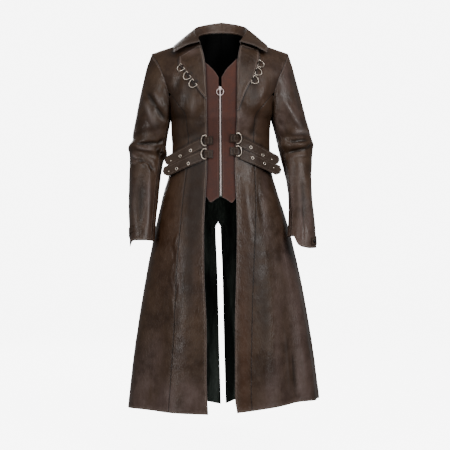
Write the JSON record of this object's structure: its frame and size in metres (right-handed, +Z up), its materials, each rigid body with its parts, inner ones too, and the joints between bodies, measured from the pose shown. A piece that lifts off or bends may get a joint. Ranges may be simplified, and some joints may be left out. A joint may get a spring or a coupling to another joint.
{
  "type": "trench coat, worn form",
  "caption": "Long open leather trench coat, filled out as worn, with a notched collar, ringed lapels, a zipped waistcoat inset, waist straps and a flared vented skirt.",
  "frame": {"origin": "middle of the neck's base, level with the shoulder seams' inner ends, where the wearer's shoulders carry the coat", "axes": "+Z up along the coat's length, the wearer faces -Y, +X towards the wearer's left arm"},
  "size_m": [0.6299, 0.4525, 1.3062],
  "materials": {
    "leather": "soft sheen, dark brown",
    "strap": "soft sheen, brown",
    "waistcoat": "matte, red brown",
    "lining": "smooth, black",
    "metal": "antique silver",
    "stud": "black, satin"
  },
  "bodies": {
    "coat": {"centre_front_right": "leather", "side_front_right": "leather", "back_right": "leather", "upper_sleeve_right": "leather", "under_sleeve_right": "leather", "lapel_right": "leather", "centre_front_left": "leather", "side_front_left": "leather", "back_left": "leather", "upper_sleeve_left": "leather", "under_sleeve_left": "leather", "lapel_left": "leather", "collar": "leather", "cuff_strap_right": "strap", "waist_strap_upper_right": "strap", "waist_tab_upper_right": "strap", "waist_strap_lower_right": "strap", "waist_tab_lower_right": "strap", "lapel_loop_top_right": "strap", "lapel_loop_middle_right": "strap", "lapel_loop_bottom_right": "strap", "cuff_strap_left": "strap", "waist_strap_upper_left": "strap", "waist_tab_upper_left": "strap", "waist_strap_lower_left": "strap", "waist_tab_lower_left": "strap", "lapel_loop_top_left": "strap", "lapel_loop_middle_left": "strap", "lapel_loop_bottom_left": "strap", "waistcoat_right": "waistcoat", "waistcoat_left": "waistcoat", "lining_right": "lining", "lining_left": "lining", "waist_ring_upper_right": "metal", "waist_ring_lower_right": "metal", "waist_ring_upper_left": "metal", "waist_ring_lower_left": "metal", "zip": "metal", "zip_slider": "metal", "cuff_stud_right": "stud", "cuff_stud_left": "stud"},
    "lapel_ring_top_right": {"lapel_ring_top_right": "metal"},
    "lapel_ring_middle_right": {"lapel_ring_middle_right": "metal"},
    "lapel_ring_bottom_right": {"lapel_ring_bottom_right": "metal"},
    "lapel_ring_top_left": {"lapel_ring_top_left": "metal"},
    "lapel_ring_middle_left": {"lapel_ring_middle_left": "metal"},
    "lapel_ring_bottom_left": {"lapel_ring_bottom_left": "metal"},
    "zip_pull": {"zip_pull": "metal"}
  },
  "joints": [
    {"name": "lapel_ring_top_right_swing", "type": "hinge", "parent": "coat", "child": "lapel_ring_top_right", "pos_m": [-0.12487, -0.08582, -0.09606], "axis": [-0.4563, 0.5525, 0.6975], "range_deg": [0, 120]},
    {"name": "lapel_ring_middle_right_swing", "type": "hinge", "parent": "coat", "child": "lapel_ring_middle_right", "pos_m": [-0.10455, -0.10526, -0.12484], "axis": [-0.5295, 0.4088, 0.7433], "range_deg": [0, 120]},
    {"name": "lapel_ring_bottom_right_swing", "type": "hinge", "parent": "coat", "child": "lapel_ring_bottom_right", "pos_m": [-0.08555, -0.11866, -0.15108], "axis": [-0.5682, 0.3055, 0.7641], "range_deg": [0, 120]},
    {"name": "lapel_ring_top_left_swing", "type": "hinge", "parent": "coat", "child": "lapel_ring_top_left", "pos_m": [0.11965, -0.08003, -0.0849], "axis": [-0.1913, -0.5836, -0.7892], "range_deg": [0, 120]},
    {"name": "lapel_ring_middle_left_swing", "type": "hinge", "parent": "coat", "child": "lapel_ring_middle_left", "pos_m": [0.11155, -0.09698, -0.11181], "axis": [-0.2869, -0.4467, -0.8474], "range_deg": [0, 120]},
    {"name": "lapel_ring_bottom_left_swing", "type": "hinge", "parent": "coat", "child": "lapel_ring_bottom_left", "pos_m": [0.10046, -0.11097, -0.14006], "axis": [-0.3565, -0.3755, -0.8555], "range_deg": [0, 120]},
    {"name": "zip_pull_swing", "type": "hinge", "parent": "coat", "child": "zip_pull", "pos_m": [-0.00397, -0.12016, -0.1715], "axis": [-1, 0, 0], "range_deg": [0, 120]}
  ]
}
